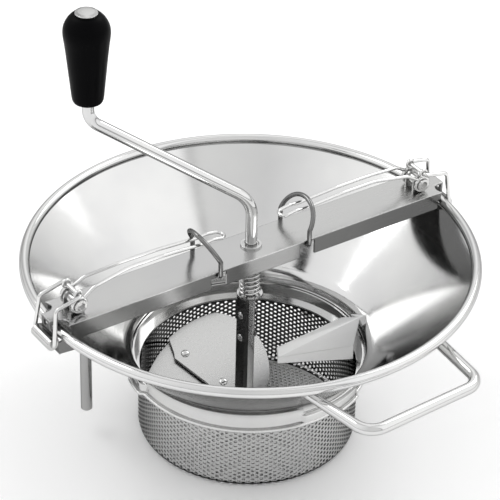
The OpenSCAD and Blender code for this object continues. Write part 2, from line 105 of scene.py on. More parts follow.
def join(name, pieces):
    """Several objects as one mesh object."""
    verts, faces = [], []
    for piece in pieces:
        start = len(verts)
        verts += [v.co / MM for v in piece.data.vertices]
        faces += [[start + i for i in p.vertices] for p in piece.data.polygons]
        bpy.data.objects.remove(piece)
    return new_object(name, verts, faces)


def arc(cx, cz, r, start, end, steps):
    """Points of an arc in the (radius, height) plane, angles in degrees."""
    return [
        (cx + r * math.cos(math.radians(start + (end - start) * k / steps)),
         cz + r * math.sin(math.radians(start + (end - start) * k / steps)))
        for k in range(steps + 1)
    ]


def divided(a, b, steps):
    """Points from a to b, without b."""
    return [(a[0] + (b[0] - a[0]) * k / steps, a[1] + (b[1] - a[1]) * k / steps) for k in range(steps)]


def lathe(name, outline, segments, shift=None, smooth_angle=35):
    """Turns a closed outline of (radius, height) points about Z; shift(angle, r, z) moves a point out."""
    verts, faces = [], []
    count = len(outline)
    for i in range(segments):
        angle = 2 * math.pi * i / segments
        for r, z in outline:
            out = r + (shift(angle, r, z) if shift else 0)
            verts.append((out * math.cos(angle), out * math.sin(angle), z))
    for i in range(segments):
        a, b = i * count, (i + 1) % segments * count
        for k in range(count):
            n = (k + 1) % count
            faces.append([a + k, b + k, b + n, a + n])
    return new_object(name, verts, faces, smooth_angle)


def solid_lathe(name, outline, segments, smooth_angle=35):
    """Turns an outline whose two ends lie on the axis."""
    inner = outline[1:-1]
    verts, faces = [], []
    count = len(inner)
    for i in range(segments):
        angle = 2 * math.pi * i / segments
        verts += [(r * math.cos(angle), r * math.sin(angle), z) for r, z in inner]
    first, last = len(verts), len(verts) + 1
    verts += [(0, 0, outline[0][1]), (0, 0, outline[-1][1])]
    for i in range(segments):
        a, b = i * count, (i + 1) % segments * count
        faces += [[a + k, b + k, b + k + 1, a + k + 1] for k in range(count - 1)]
        faces.append([first, b, a])
        faces.append([last, a + count - 1, b + count - 1])
    return new_object(name, verts, faces, smooth_angle)


def bent_path(corners, bends, step=6):
    """A path through corner points with a round bend of its own radius at each inner corner."""
    points = [Vector(corners[0])]
    for i in range(1, len(corners) - 1):
        a, b, c = Vector(corners[i - 1]), Vector(corners[i]), Vector(corners[i + 1])
        u, v = (b - a).normalized(), (c - b).normalized()
        turn = u.angle(v)
        start = b - u * bends[i - 1] * math.tan(turn / 2)
        across = (v - u * v.dot(u)).normalized()
        steps = max(3, math.ceil(math.degrees(turn) / step))
        for k in range(steps + 1):
            t = turn * k / steps
            points.append(start + bends[i - 1] * (math.sin(t) * u + (1 - math.cos(t)) * across))
    points.append(Vector(corners[-1]))
    return points


def sweep(name, path, r, sides=20, round_ends=0.0, closed=False, seat=None):
    """A round wire along a path. round_ends rounds its ends; seat(point) moves the last rings' points."""
    path = [Vector(p) for p in path]
    count = len(path)
    tangents = []
    for i in range(count):
        if closed:
            ahead, behind = path[(i + 1) % count], path[i - 1]
        else:
            ahead, behind = path[min(i + 1, count - 1)], path[max(i - 1, 0)]
        tangents.append((ahead - behind).normalized())
    side = tangents[0].orthogonal().normalized()
    rings = []
    for i in range(count):
        side = (side - tangents[i] * side.dot(tangents[i])).normalized()
        rings.append((path[i], tangents[i], side.copy(), r))
    if round_ends and not closed:
        for end, sign in ((0, -1), (-1, 1)):
            p, t, s = rings[end][:3]
            cap = [
                (p + t * sign * round_ends * math.sin(a), t, s, r - round_ends * (1 - math.cos(a)))
                for a in (math.radians(d) for d in (30, 60, 90))
            ]
            rings = cap[::-1] + rings if end == 0 else rings + cap
    verts, faces = [], []
    for p, t, s, ring_r in rings:
        other = t.cross(s)
        for k in range(sides):
            a = 2 * math.pi * k / sides
            verts.append(p + ring_r * (math.cos(a) * s + math.sin(a) * other))
    if seat:
        last = len(verts) - sides
        verts = [seat(v) if i < sides or i >= last else v for i, v in enumerate(verts)]
    total = len(rings)
    for i in range(total if closed else total - 1):
        a, b = i * sides, (i + 1) % total * sides
        if closed and i == total - 1:
            # the last frame may have turned, so the closing ring starts at the nearest point
            turn = min(range(sides), key=lambda k: (Vector(verts[a]) - Vector(verts[k])).length)
        else:
            turn = 0
        for k in range(sides):
            n = (k + 1) % sides
            faces.append([a + k, a + n, b + (n + turn) % sides, b + (k + turn) % sides])
    if not closed:
        faces.append(list(range(sides))[::-1])
        faces.append([(total - 1) * sides + k for k in range(sides)])
    return new_object(name, verts, faces)


def mirrored(name, piece):
    """A copy of a piece on the other side of the YZ plane."""
    verts = [(-v.co.x / MM, v.co.y / MM, v.co.z / MM) for v in piece.data.vertices]
    faces = [list(p.vertices)[::-1] for p in piece.data.polygons]
    return new_object(name, verts, faces)


def put(piece, body, slot, material, *nodes):
    """Gives a finished piece its body and its material, and hides the CAD nodes it stands for; slot is not
    used.
    """
    piece.data.materials.append(material)
    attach(piece, body)
    if nodes:
        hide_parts(*nodes)


# ---------------------------------------------------------------- materials

def start_material(name, colour, metallic, roughness):
    """A Principled material and the handles for adding detail to it."""
    material = bpy.data.materials.new(name)
    material.use_nodes = True
    nodes, links = material.node_tree.nodes, material.node_tree.links
    shader = nodes["Principled BSDF"]
    shader.inputs["Base Color"].default_value = (*colour, 1)
    shader.inputs["Metallic"].default_value = metallic
    shader.inputs["Roughness"].default_value = roughness
    return material, nodes, links, shader


def ranged(nodes, links, source, low, high, from_low=0.0, from_high=1.0):
    """A value mapped to a new range."""
    mapped = nodes.new("ShaderNodeMapRange")
    mapped.inputs["From Min"].default_value = from_low
    mapped.inputs["From Max"].default_value = from_high
    mapped.inputs["To Min"].default_value = low
    mapped.inputs["To Max"].default_value = high
    links.new(source, mapped.inputs["Value"])
    return mapped.outputs["Result"]


def noise(nodes, links, vector, scale, detail=3.0):
    """Noise over a vector, as a value from 0 to 1."""
    texture = nodes.new("ShaderNodeTexNoise")
    texture.inputs["Scale"].default_value = scale
    texture.inputs["Detail"].default_value = detail
    links.new(vector, texture.inputs["Vector"])
    return texture.outputs["Fac"]


def radius_of(nodes, links, split):
    """Distance from the crank's axis, from coordinates that are already separated."""
    flat = nodes.new("ShaderNodeCombineXYZ")
    links.new(split.outputs["X"], flat.inputs["X"])
    links.new(split.outputs["Y"], flat.inputs["Y"])
    radius = nodes.new("ShaderNodeVectorMath")
    radius.operation = "LENGTH"
    links.new(flat.outputs[0], radius.inputs[0])
    return radius.outputs["Value"]


def angle_of(nodes, links, split):
    """Angle about the crank's axis, in radians from +X."""
    turn = nodes.new("ShaderNodeMath")
    turn.operation = "ARCTAN2"
    links.new(split.outputs["Y"], turn.inputs[0])
    links.new(split.outputs["X"], turn.inputs[1])
    return turn.outputs[0]


def grain_vector(nodes, links, kind, stretch):
    """Coordinates that stretch noise into the grain that a way of working leaves.

    spun runs in circles about the crank's axis, along_x runs along the crossbar and drawn is even.
    """
    coords = nodes.new("ShaderNodeTexCoord").outputs["Object"]
    if kind == "spun":
        split = nodes.new("ShaderNodeSeparateXYZ")
        links.new(coords, split.inputs[0])
        spun = nodes.new("ShaderNodeCombineXYZ")
        links.new(radius_of(nodes, links, split), spun.inputs["X"])
        links.new(split.outputs["Z"], spun.inputs["Y"])
        arc_part = nodes.new("ShaderNodeMath")
        arc_part.operation = "MULTIPLY"
        arc_part.inputs[1].default_value = stretch
        links.new(angle_of(nodes, links, split), arc_part.inputs[0])
        links.new(arc_part.outputs[0], spun.inputs["Z"])
        return spun.outputs[0]
    mapping = nodes.new("ShaderNodeMapping")
    scale = (stretch, 1, 1) if kind == "along_x" else (1, 1, 1)
    mapping.inputs["Scale"].default_value = scale
    links.new(coords, mapping.inputs["Vector"])
    return mapping.outputs["Vector"]


# how much of a metal's own colour is left where it is seen almost edge on
GRAZING = 0.4


def steel(name, grey, roughness, kind="drawn", stretch=0.1, grain=900, grain_depth=0.02, edge=0.0):
    """Stainless steel: blotchy roughness at a large scale, and fine grain that runs as it was worked."""
    material, nodes, links, shader = start_material(name, (grey, grey, grey * 0.99), 1.0, roughness)
    shader.inputs["Specular Tint"].default_value = (GRAZING, GRAZING, GRAZING, 1)
    coords = nodes.new("ShaderNodeTexCoord").outputs["Object"]
    blotch = noise(nodes, links, coords, 18, 4)
    fine = noise(nodes, links, grain_vector(nodes, links, kind, stretch), grain, 5)
    both = nodes.new("ShaderNodeMix")
    both.inputs["Factor"].default_value = 0.45
    links.new(blotch, both.inputs["A"])
    links.new(fine, both.inputs["B"])
    links.new(ranged(nodes, links, both.outputs["Result"], roughness * 0.6, roughness * 1.5, 0.3, 0.7),
              shader.inputs["Roughness"])
    tint = nodes.new("ShaderNodeMix")
    tint.data_type = "RGBA"
    tint.inputs["A"].default_value = (grey * 0.93, grey * 0.93, grey * 0.93, 1)
    tint.inputs["B"].default_value = (grey, grey, grey * 0.99, 1)
    links.new(ranged(nodes, links, blotch, 0, 1, 0.35, 0.6), tint.inputs["Factor"])
    links.new(tint.outputs["Result"], shader.inputs["Base Color"])
    bump = nodes.new("ShaderNodeBump")
    bump.inputs["Strength"].default_value = 1
    bump.inputs["Distance"].default_value = grain_depth * MM
    links.new(fine, bump.inputs["Height"])
    if edge:
        bevel = nodes.new("ShaderNodeBevel")
        bevel.samples = 4
        bevel.inputs["Radius"].default_value = edge * MM
        links.new(bevel.outputs["Normal"], bump.inputs["Normal"])
    links.new(bump.outputs["Normal"], shader.inputs["Normal"])
    return material


def shade(material, mask, low):
    """Paints shade: darkens a material's colour to a share of itself where a mask is 1."""
    nodes, links = material.node_tree.nodes, material.node_tree.links
    shader = nodes["Principled BSDF"]
    mix = nodes.new("ShaderNodeMix")
    mix.data_type = "RGBA"
    mix.blend_type = "MULTIPLY"
    mix.inputs["B"].default_value = (low, low, low, 1)
    links.new(mask, mix.inputs["Factor"])
    links.new(shader.inputs["Base Color"].links[0].from_socket, mix.inputs["A"])
    links.new(mix.outputs["Result"], shader.inputs["Base Color"])


def below_mask(material, z, soft):
    """1 below a height in millimetres and 0 above it, with a soft step."""
    nodes, links = material.node_tree.nodes, material.node_tree.links
    split = nodes.new("ShaderNodeSeparateXYZ")
    links.new(nodes.new("ShaderNodeTexCoord").outputs["Object"], split.inputs[0])
    return ranged(nodes, links, split.outputs["Z"], 1, 0, (z - soft) * MM, z * MM)


def shaded_bar(name):
    """The crossbar's sheet: satin on top, with painted shade that darkens its flanges and the inside of the
    channel.
    """
    material = steel(name, 0.54, 0.2, "along_x", 0.05, 1500, 0.02, edge=0.7)
    # painted shade: below the bar's top face its colour drops to 0.42 of itself, for the shade on the
    # flanges and in the channel
    shade(material, below_mask(material, BAR_TOP_Z - 0.2, 0.7), 0.42)
    return material


def sieve_sheet(name):
    """The drum's perforated sheet: polished outside, and darker inside as painted shade."""
    material = steel(name, 0.56, 0.08, "drawn", 1, 900, 0.01)
    nodes, links = material.node_tree.nodes, material.node_tree.links
    split = nodes.new("ShaderNodeSeparateXYZ")
    links.new(nodes.new("ShaderNodeTexCoord").outputs["Object"], split.inputs[0])
    radius = radius_of(nodes, links, split)
    inside = ranged(nodes, links, radius, 1, 0, (DRUM_R - 0.4) * MM, (DRUM_R - 0.05) * MM)
    # painted shade: the wall's inner face is darkened to 0.19 of its colour, for the dark inside of the drum
    shade(material, inside, 0.19)
    return material


def satin_fin(name):
    """The deflector's satin sheet, its flange shaded as if it leaned back to the light."""
    material = steel(name, 0.86, 0.42, "along_x", 0.3, 1200, 0.01, edge=0.3)
    nodes, links = material.node_tree.nodes, material.node_tree.links
    shader = nodes["Principled BSDF"]
    below = below_mask(material, FIN_FOLD_Z, 0.6)
    lean = nodes.new("ShaderNodeCombineXYZ")
    links.new(ranged(nodes, links, below, 0, 0.8), lean.inputs["Z"])
    tilted = nodes.new("ShaderNodeVectorMath")
    links.new(shader.inputs["Normal"].links[0].from_socket, tilted.inputs[0])
    links.new(lean.outputs[0], tilted.inputs[1])
    unit = nodes.new("ShaderNodeVectorMath")
    unit.operation = "NORMALIZE"
    links.new(tilted.outputs["Vector"], unit.inputs[0])
    links.new(unit.outputs["Vector"], shader.inputs["Normal"])
    return material


def satin_floor(name):
    """The drum's floor: satin sheet, only partly metallic so that it catches the light from above."""
    material = steel(name, 0.64, 0.35, "drawn", 1, 900, 0.01)
    material.node_tree.nodes["Principled BSDF"].inputs["Metallic"].default_value = 0.3
    return material


def black_plastic(name):
    """Black moulded plastic: a low sheen, faint orange peel and patches rubbed duller than the rest."""
    material, nodes, links, shader = start_material(name, (0.004, 0.004, 0.005), 0.0, 0.4)
    coords = nodes.new("ShaderNodeTexCoord").outputs["Object"]
    rubbed = noise(nodes, links, coords, 45, 4)
    links.new(ranged(nodes, links, rubbed, 0.34, 0.5, 0.4, 0.75), shader.inputs["Roughness"])
    tint = nodes.new("ShaderNodeMix")
    tint.data_type = "RGBA"
    tint.inputs["A"].default_value = (0.001, 0.001, 0.0013, 1)
    tint.inputs["B"].default_value = (0.003, 0.003, 0.0035, 1)
    links.new(rubbed, tint.inputs["Factor"])
    links.new(tint.outputs["Result"], shader.inputs["Base Color"])
    bump = nodes.new("ShaderNodeBump")
    bump.inputs["Distance"].default_value = 0.03 * MM
    links.new(noise(nodes, links, coords, 600, 2), bump.inputs["Height"])
    links.new(bump.outputs["Normal"], shader.inputs["Normal"])
    shader.inputs["Specular IOR Level"].default_value = 0.03
    return material


def pale_floor(name):
    """The studio floor: near white, with a very faint mottle."""
    material, nodes, links, shader = start_material(name, (0.98, 0.98, 0.98), 0.0, 0.7)
    coords = nodes.new("ShaderNodeTexCoord").outputs["Object"]
    tint = nodes.new("ShaderNodeMix")
    tint.data_type = "RGBA"
    tint.inputs["A"].default_value = (0.97, 0.97, 0.97, 1)
    tint.inputs["B"].default_value = (0.99, 0.99, 0.99, 1)
    links.new(noise(nodes, links, coords, 3, 3), tint.inputs["Factor"])
    links.new(tint.outputs["Result"], shader.inputs["Base Color"])
    return material


SPUN = steel("spun_sheet_steel", 0.74, 0.12, "spun", 0.012, 1300, 0.012)
DRAWN = steel("drawn_rod_steel", 0.72, 0.08, "drawn", 1, 700, 0.006)
WIRE = steel("spring_wire_steel", 0.78, 0.08, "drawn", 1, 900, 0.006)
LEG = steel("leg_rod_steel", 0.42, 0.12, "drawn", 1, 700, 0.006)
BAR = shaded_bar("bar_sheet_steel")
PLATE = steel("rotor_sheet_steel", 0.66, 0.24, "along_x", 0.3, 1200, 0.02, edge=0.3)
SIEVE = sieve_sheet("sieve_steel")
SIEVE_FLOOR = satin_floor("sieve_floor_steel")
FIN = satin_fin("fin_steel")
POST = steel("post_steel", 0.1, 0.12, "drawn", 1, 700, 0.004)
FITTING = steel("fitting_steel", 0.62, 0.12, "drawn", 1, 900, 0.008, edge=0.3)
DARK = steel("dark_wire_steel", 0.22, 0.14, "drawn", 1, 900, 0.008)
PLASTIC = black_plastic("black_gloss_plastic")


# ---------------------------------------------------------------- bowl

LUG_ANGLES = (30, 150, 270)
POCKET_DEPTH = 2.7


def smooth_step(low, high, value):
    """0 below low, 1 above high, smooth between."""
    t = min(max((value - low) / (high - low), 0), 1)
    return t * t * (3 - 2 * t)


def pocket_shift(angle, r, z):
    """How far the neck's pressed bayonet pockets stand out at a point."""
    if z > NECK_TOP_Z or r > RIM_R - 40:
        return 0
    degrees = math.degrees(angle) % 360
    best = 0
    # near counts degrees past a lug's mouth, and the floor and roof are heights above the neck's edge
    for lug in LUG_ANGLES:
        near = (degrees - lug + 180) % 360 - 180
        along = smooth_step(-8.5, -6.5, near) * (1 - smooth_step(26.5, 28.5, near))
        mouth = smooth_step(12.5, 14, near)
        floor = smooth_step(NECK_Z + 2.9, NECK_Z + 3.7, z)
        roof = 1 - smooth_step(NECK_Z + 8.6, NECK_Z + 9.8, z)
        best = max(best, along * max(mouth, floor) * roof)
    return POCKET_DEPTH * best


def make_bowl():
    """Funnel, neck and rolled rim as one turned sheet."""
    neck_out_r = NECK_R + SHEET_T
    inner = divided((NECK_R, NECK_Z), (NECK_R, NECK_TOP_Z), 16)
    inner += divided((NECK_R, NECK_TOP_Z), (NECK_R + 0.7, NECK_TOP_Z + 3), 4)
    inner += [(80.9, 67), (81.7, 69), (83, 71.2), (84.4, 72.9), (86.1, 74.6)]
    inner += divided((86.6, 75.05), (RIM_R - 2.16, RIM_Z - 2.75), 24)
    bead = arc(RIM_R, RIM_Z, BEAD_R, 232, -107, 40)
    outer_low = (SHOULDER_R + SHEET_T * CONE_UP + 0.6, SHOULDER_Z - SHEET_T * CONE_OUT + 0.3)
    outer = divided((RIM_R - 1.04, RIM_Z - 3.4), outer_low, 24)[1:]
    outer += [(86.9, 73.2), (86.5, 72.6), (85.2, 71.6), (83.6, 69.7), (82.7, 67.6), (82, 66.6), (81.6, 65.2)]
    outer += divided((neck_out_r, NECK_TOP_Z), (neck_out_r, NECK_Z + 3), 14)
    foot = arc(neck_out_r + 0.7, NECK_Z + 1.4, 1.4, 120, -100, 12)
    bowl = lathe("bowl", inner + bead + outer + foot, 360, shift=pocket_shift, smooth_angle=40)
    put(bowl, "mill", "bowl_steel", SPUN, "bowl_shell", "rim_wire")


# ---------------------------------------------------------------- sieve

HOLE_PITCH = 3.5
# the record reasons with 2 mm holes; these are 2.3 mm, widened to show as the photo's do
HOLE_R = 1.15
HOLE_SIDES = 12
COLUMNS = 158
ROWS = 15


def wall_profile(s):
    """Radius, height and outward normal of the drum's outer face, s millimetres down from its top."""
    straight = DRUM_TOP - DRUM_CORNER
    if s <= straight:
        return DRUM_R, DRUM_TOP - s, 1, 0
    a = (s - straight) / DRUM_CORNER
    return (DRUM_R - DRUM_CORNER + DRUM_CORNER * math.cos(a), DRUM_CORNER * (1 - math.sin(a)),
            math.cos(a), -math.sin(a))


def wall_point(u, s, depth):
    """A point of the drum's wall: u along the girth, s down the wall, depth below the outer face."""
    r, z, nr, nz = wall_profile(s)
    angle = u / DRUM_R
    return ((r - depth * nr) * math.cos(angle), (r - depth * nr) * math.sin(angle), z - depth * nz)


def make_sieve_wall():
    """The drum's wall and rounded corner, with staggered columns of real holes."""
    girth = 2 * math.pi * DRUM_R
    width = girth / COLUMNS
    length = DRUM_TOP - DRUM_CORNER + DRUM_CORNER * math.pi / 2
    margin = (length - ROWS * HOLE_PITCH) / 2
    verts, faces, shared = [], [], {}

    def grid(i, j, layer):
        """Index of a shared corner of the hexagons, i thirds of a column and j half pitches."""
        key = (i % (3 * COLUMNS), j, layer)
        if key not in shared:
            shared[key] = len(verts)
            verts.append(wall_point(i * width / 3, margin + j * HOLE_PITCH / 2, layer * DRUM_T))
        return shared[key]

    hexagon = ((2, 0), (1, 1), (-1, 1), (-2, 0), (-1, -1), (1, -1))
    for column in range(COLUMNS):
        offset = column % 2
        for row in range(ROWS - offset):
            i0, j0 = 3 * column, 2 * row + 1 + offset
            u0, s0 = column * width, margin + j0 * HOLE_PITCH / 2
            rings = []
            for layer in (0, 1):
                ring = []
                for k in range(HOLE_SIDES):
                    a = 2 * math.pi * k / HOLE_SIDES
                    ring.append(len(verts))
                    u, s = u0 + HOLE_R * math.cos(a), s0 + HOLE_R * math.sin(a)
                    verts.append(wall_point(u, s, layer * DRUM_T))
                rings.append(ring)
                corners = [grid(i0 + di, j0 + dj, layer) for di, dj in hexagon]
                for k in range(6):
                    n = (k + 1) % 6
                    arc_points = [ring[(2 * k + 2) % HOLE_SIDES], ring[2 * k + 1], ring[2 * k]]
                    face = [corners[k], corners[n]] + arc_points
                    faces.append(face[::-1] if layer == 0 else face)
            for k in range(HOLE_SIDES):
                n = (k + 1) % HOLE_SIDES
                faces.append([rings[0][k], rings[0][n], rings[1][n], rings[1][k]][::-1])
        if offset:
            for layer in (0, 1):
                i0 = 3 * column
                for j0, dj in ((0, 1), (2 * ROWS, -1)):
                    face = [grid(i0 - 2, j0, layer), grid(i0 + 2, j0, layer), grid(i0 + 1, j0 + dj, layer),
                            grid(i0 - 1, j0 + dj, layer)]
                    faces.append(face if (layer == 0) == (dj < 0) else face[::-1])
    ends = []
    for j0, s_values in ((0, (0,)), (2 * ROWS, (length - margin / 2, length))):
        for layer in (0, 1):
            starts = [i for column in range(0, COLUMNS, 2) for i in (3 * column - 1, 3 * column + 1)]
            ring = [grid(i, j0, layer) for i in starts]
            for s in s_values:
                edge = []
                for i in starts:
                    edge.append(len(verts))
                    verts.append(wall_point(i * width / 3, s, layer * DRUM_T))
                for k in range(len(ring)):
                    n = (k + 1) % len(ring)
                    face = [ring[k], ring[n], edge[n], edge[k]]
                    faces.append(face if (layer == 0) == (j0 == 0) else face[::-1])
                ring = edge
            ends.append(ring)
    for k in range(len(ends[0])):
        n = (k + 1) % len(ends[0])
        faces.append([ends[0][k], ends[0][n], ends[1][n], ends[1][k]])
    wall = new_object("sieve_wall", verts, faces, 50)
    put(wall, "sieve", "sieve_steel", SIEVE, "sieve_drum")


def make_sieve_floor():
    """The drum's flat floor, cut round its holes by a triangulation."""
    edge_r = DRUM_R - DRUM_CORNER
    step = 2 * math.pi * DRUM_R / COLUMNS / DRUM_R
    points, edges = [], []
    starts = [i for column in range(0, COLUMNS, 2) for i in (3 * column - 1, 3 * column + 1)]
    for i in starts:
        points.append((edge_r * math.cos(i * step / 3), edge_r * math.sin(i * step / 3)))
    rim = list(range(len(points)))
    row_step = HOLE_PITCH * math.sqrt(3) / 2
    reach = int(edge_r / row_step) + 1
    holes = []
    for row in range(-reach, reach + 1):
        for column in range(-reach, reach + 1):
            cx = (column + 0.5 * (row % 2)) * HOLE_PITCH
            cy = row * row_step
            if math.hypot(cx, cy) > edge_r - HOLE_R - 0.8:
                continue
            first = len(points)
            for k in range(HOLE_SIDES):
                a = 2 * math.pi * k / HOLE_SIDES
                points.append((cx + HOLE_R * math.cos(a), cy + HOLE_R * math.sin(a)))
            ring = list(range(first, first + HOLE_SIDES))
            edges += [(ring[k], ring[(k + 1) % HOLE_SIDES]) for k in range(HOLE_SIDES)]
            holes.append(ring)
    flat = delaunay_2d_cdt([Vector(p) for p in points], edges, [rim], 1, 1e-5)
    owner = {}
    for number, ring in enumerate(holes):
        for index in ring:
            owner[index] = number
    verts = [(p.x, p.y, 0) for p in flat[0]] + [(p.x, p.y, DRUM_T) for p in flat[0]]
    shift = len(flat[0])
    assert shift == len(points), "the triangulation added points"
    faces = []
    for tri in flat[2]:
        owners = {owner.get(i) for i in tri}
        if len(owners) == 1 and None not in owners:
            continue
        faces.append(list(tri)[::-1])
        faces.append([i + shift for i in tri])
    faces += [[b, a, a + shift, b + shift] for a, b in edges]
    floor = new_object("sieve_floor", verts, faces, 50)
    put(floor, "sieve", "sieve_steel", SIEVE_FLOOR)


# ---------------------------------------------------------------- handle and crank

def seat_on_cone(v):
    """Moves a point of the handle's end along Y into the funnel's sheet."""
    sunk = 0.7
    outer_r = SHOULDER_R + (v[2] - SHOULDER_Z) / CONE_SLOPE + SHEET_T / CONE_UP - sunk
    return Vector((v[0], -math.sqrt(outer_r ** 2 - v[0] ** 2), v[2]))


def make_handle():
    """Bent rod under the rim, its ends seated on the funnel."""
    rod_r, weld_r, weld_spread = 3.8, 0.9, 0.02
    bend, skew = 13, 2.8
    foot_x, foot_y = 52, -131
    bar_x, bar_y = 45.4, -184
    z = RIM_Z - 12
    turn = Matrix.Rotation(math.radians(skew), 4, "Z")
    corners = [(-foot_x, foot_y, z), (-bar_x, bar_y, z), (bar_x, bar_y, z), (foot_x, foot_y, z)]
    path = [turn @ p for p in bent_path(corners, [bend, bend])]
    handle = sweep("handle", path, rod_r, 24, seat=seat_on_cone)
    put(handle, "mill", "rod_steel", DRAWN, "handle_loop")
    for name, p in (("handle_weld_left", path[0]), ("handle_weld_right", path[-1])):
        seat = seat_on_cone(p)
        ring = []
        for k in range(24):
            a = 2 * math.pi * k / 24
            reach = rod_r * (1 + weld_spread)
            q = seat_on_cone(p + Vector((reach * math.cos(a), 0, reach * math.sin(a))))
            ring.append(q + (q - seat) * weld_spread + Vector((0, -weld_r, 0)))
        weld = sweep(name, ring, weld_r, 8, closed=True)
        put(weld, "mill", "rod_steel", FITTING)


def make_crank():
    """Shaft and bent arm in one rod."""
    low = corners_mm("crank_rod")[0]
    grip_high = corners_mm("grip")[1]
    rod_r, reach, azimuth = 4, 107.5, 155
    elbow_z, wrist_z = RIM_Z + 44.5, RIM_Z + 113.5
    elbow_bend, wrist_bend = 22, 14
    turn = Matrix.Rotation(math.radians(azimuth), 4, "Z")
    top = grip_high.z - 10
    corners = [(0, 0, low.z + 1), (0, 0, elbow_z), (reach, 0, wrist_z), (reach, 0, top)]
    path = bent_path(corners, [elbow_bend, wrist_bend], 5)
    rod = sweep("crank", [turn @ p for p in path], rod_r, 32, round_ends=0.9)
    put(rod, "rotor", "rod_steel", DRAWN, "crank_rod")


def smooth_through(a, b, c, d, t):
    """A value a share t of the way from b to c, on a smooth curve through a, b, c and d."""
    m1, m2 = (c - a) / 2, (d - b) / 2
    return (2 * b - 2 * c + m1 + m2) * t ** 3 + (3 * c - 3 * b - 2 * m1 - m2) * t ** 2 + m1 * t + b


def make_grip():
    """Black handle, turned from a smooth outline."""
    low, high = corners_mm("grip")
    centre = (low + high) / 2
    widest = 15.25
    knots = [
        (0, 0), (8.4, 0), (9.5, 0.5), (10.1, 1.6), (10.5, 4), (10.9, 8), (11.6, 15), (12.5, 24), (13.4, 33),
        (14.3, 41), (15, 46), (widest, 49.4), (15, 52.5), (14.2, 55.2), (12.6, 58.2), (10.4, 60.8),
        (8.3, 62.2), (7.8, 62.7), (0, 63)
    ]
    outline = [knots[0], knots[1]]
    for i in range(1, len(knots) - 2):
        p0, p1, p2, p3 = knots[i - 1], knots[i], knots[i + 1], knots[i + 2]
        for k in range(1, 6):
            t = k / 5
            r, z = (smooth_through(a, b, c, d, t) for a, b, c, d in zip(p0, p1, p2, p3))
            outline.append((min(r, widest), max(z, 0)))
    outline.append(knots[-1])
    grip = solid_lathe("grip_handle", outline, 96, 40)
    for v in grip.data.vertices:
        v.co += Vector((centre.x, centre.y, low.z)) * MM
    put(grip, "knob", "grip_plastic", PLASTIC, "grip")


# ---------------------------------------------------------------- spring

def make_spring():
    """Nine turns of wire, wider at the seat, with flattened end turns."""
    low, high = corners_mm("spring")
    wire_r, low_r, high_r = 0.8, 6.9, 6.2
    turns, travel = 9, 3
    steps = 40 * turns
    bottom, top = low.z + wire_r, high.z - wire_r
    path = []
    for i in range(steps + 1):
        t = i / steps
        rise = smooth_step(0, 1, t) * 0.12 + t * 0.88
        r = low_r + (high_r - low_r) * t
        a = 2 * math.pi * turns * t
        path.append((r * math.cos(a), r * math.sin(a), bottom + (top - bottom) * rise))
    spring = sweep("coil_spring", path, wire_r, 12, round_ends=0.3)
    put(spring, "mill", "wire_steel", WIRE, "spring")
    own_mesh(spring)


# ---------------------------------------------------------------- toggles

# (x, z) of the lever's pivot pin, of the eye that holds the link, and of the roller's axle
PIVOT = (137, RIM_Z + 15.5)
LINK_EYE = (137.7, RIM_Z + 24)
AXLE = (159, RIM_Z - 6)
EYE_Y = 7.5


def ring_path(centre, y, r, start, steps):
    """Points of a closed ring about an axis along Y."""
    angles = (math.radians(start + 360 * k / steps) for k in range(steps))
    return [(centre[0] + r * math.cos(a), y, centre[1] + r * math.sin(a)) for a in angles]


def make_lever():
    """Hairpin of spring wire that coils round the pivot pin and ends in an eye for the link."""
    wire_r, coil_r = 1.2, 5.0
    eye_wire_r, eye_r = 1.0, 2.6
    half = [
        (125, 6.6, RIM_Z + 25.1), (98, 4, RIM_Z + 28.5), (72, 4, RIM_Z + 28.3), (40, 4, RIM_Z + 26.4),
        (33, 4, RIM_Z + 27.2), (22.8, 4, RIM_Z + 25.6)
    ]
    half = [(134.1, EYE_Y, RIM_Z + 19.6)] + half
    corners = half + [(x, -y, z) for x, y, z in half[::-1]]
    bends = [12, 60, 60, 10, 8, 3.9, 3.9, 8, 10, 60, 60, 12]
    parts = [sweep("hairpin", bent_path(corners, bends), wire_r, 16, round_ends=0.2)]
    for side in (-1, 1):
        coil = ring_path(PIVOT, side * EYE_Y, coil_r, 125, 40)
        parts.append(sweep("coil", coil, wire_r, 14, closed=True))
        eye = ring_path(LINK_EYE, side * EYE_Y, eye_r, 0, 30)
        parts.append(sweep("eye", eye, eye_wire_r, 12, closed=True))
    return join("lever_wire_right", parts)


def make_link():
    """Wire stirrup that hangs from the lever's eyes and carries the roller."""
    wire_r, y_top, y_low = 1.4, 10.5, 12.5
    corner_x, corner_z = 155.8, RIM_Z + 19.8
    corners = [
        (AXLE[0], 0, AXLE[1]), (AXLE[0], y_low, AXLE[1]),
        (corner_x, y_top, corner_z), (LINK_EYE[0], y_top, LINK_EYE[1]),
        (LINK_EYE[0], -y_top, LINK_EYE[1]), (corner_x, -y_top, corner_z),
        (AXLE[0], -y_low, AXLE[1]), (AXLE[0], -0.1, AXLE[1])
    ]
    path = bent_path(corners, [1.6, 3, 1.6, 1.6, 3, 1.6], 10)
    return sweep("link_wire_right", path, wire_r, 16, round_ends=0.1)


def make_bail():
    """Arched wire with its two feet in the crossbar's ears."""
    wire_r, leg_h = 1.6, 11.6
    x, z = 35.5, RIM_Z + 5.6
    leg_y, lean = 17.2, math.radians(28)
    top = z + leg_h
    arch = [
        (x + leg_y * math.cos(math.radians(a)) * math.sin(lean), leg_y * math.sin(math.radians(a)),
         top + leg_y * math.cos(math.radians(a)) * math.cos(lean))
        for a in range(-84, 85, 6)
    ]
    feet = bent_path([(x, -9.7, z), (x, -leg_y, z), (x, -leg_y, top)], [2])
    path = feet + arch + [Vector((p.x, -p.y, p.z)) for p in feet[::-1]]
    return sweep("bail_wire_right", path, wire_r, 18, round_ends=0.3)


